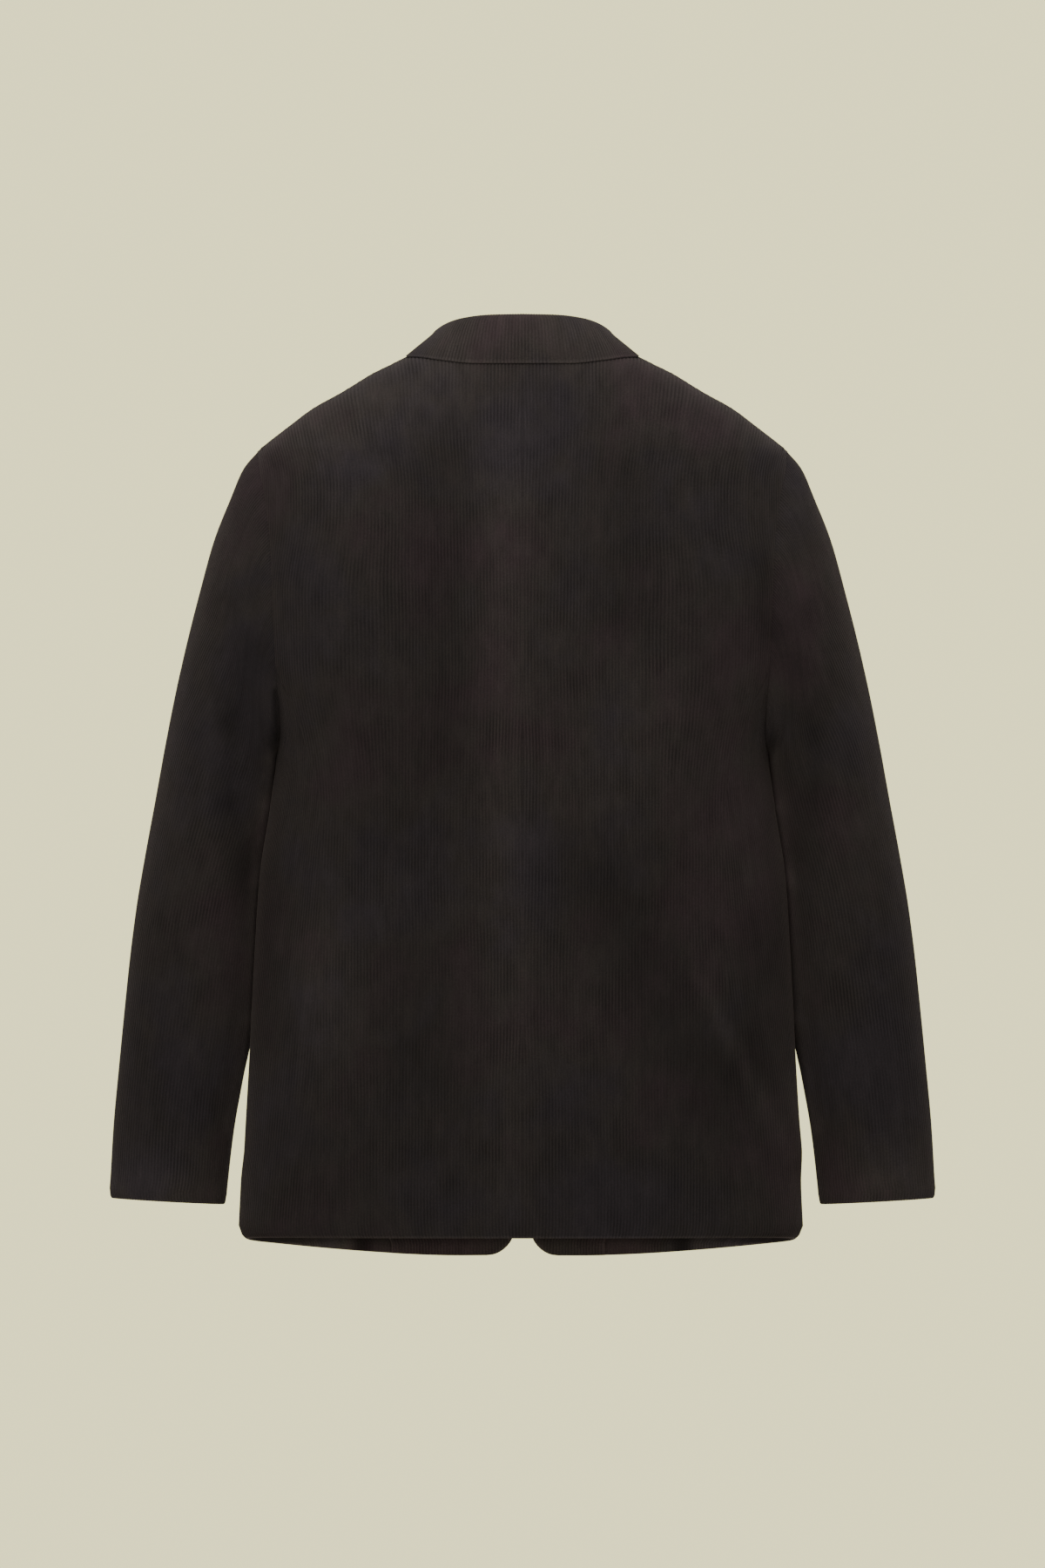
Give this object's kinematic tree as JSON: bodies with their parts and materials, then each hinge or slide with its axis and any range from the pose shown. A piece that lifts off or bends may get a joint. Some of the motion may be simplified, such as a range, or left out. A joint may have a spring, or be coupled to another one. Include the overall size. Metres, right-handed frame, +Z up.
{
  "type": "corduroy jacket",
  "caption": "Hollow worn single-breasted corduroy jacket with turned-down collar, notched lapels and two-piece sleeves.",
  "frame": {"origin": "on the neck's axis at the height where the shoulders carry the jacket, in the open neck, 720 mm above the back hem", "axes": "+Z up, +Y out of the wearer's back, +X to the wearer's left"},
  "size_m": [0.6894, 0.2505, 0.7858],
  "materials": {
    "corduroy": "dark brown ribbed cotton velvet",
    "horn": "satin dark horn"
  },
  "bodies": {
    "root": {"back_left": "corduroy", "back_right": "corduroy", "side_left": "corduroy", "side_right": "corduroy", "front_left": "corduroy", "front_right": "corduroy", "facing_left": "corduroy", "facing_right": "corduroy", "lapel_left": "corduroy", "lapel_right": "corduroy", "top_sleeve_left": "corduroy", "top_sleeve_right": "corduroy", "under_sleeve_left": "corduroy", "under_sleeve_right": "corduroy", "collar": "corduroy", "button_upper": "horn", "button_lower": "horn"}
  },
  "joints": []
}
